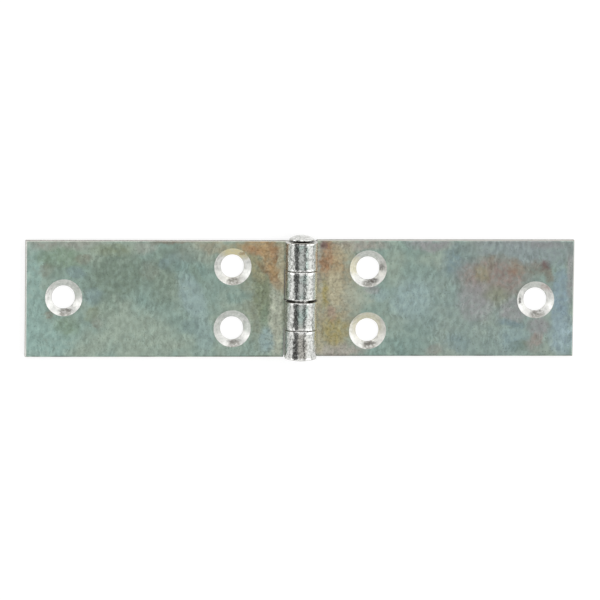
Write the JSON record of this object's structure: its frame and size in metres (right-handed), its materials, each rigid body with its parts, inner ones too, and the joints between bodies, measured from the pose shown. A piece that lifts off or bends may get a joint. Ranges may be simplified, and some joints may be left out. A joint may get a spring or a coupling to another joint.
{
  "type": "fixed pin hinge",
  "caption": "Long narrow back flap hinge of rolled sheet steel, with countersunk screw holes in both leaves and a riveted pin that can't be drawn out.",
  "frame": {"origin": "on the back face of the open hinge, under the middle of the pin", "axes": "+X along the right leaf, +Y along the pin towards its head, +Z out of the front face, where the screws go in"},
  "size_m": [0.1408, 0.0327, 0.0082],
  "materials": {
    "plated_leaf": "zinc plated and passivated sheet steel with blotchy blue, green and brown tints",
    "plated_pin": "bright zinc plated steel"
  },
  "bodies": {
    "fixed_leaf": {"right_leaf": "plated_leaf", "pin": "plated_pin"},
    "swing_leaf": {"left_leaf": "plated_leaf"}
  },
  "joints": [
    {"name": "leaf_swing", "type": "hinge", "parent": "fixed_leaf", "child": "swing_leaf", "pos_m": [0, 0, 0.0041], "axis": [0, 1, 0], "range_deg": [-88, 180]}
  ]
}
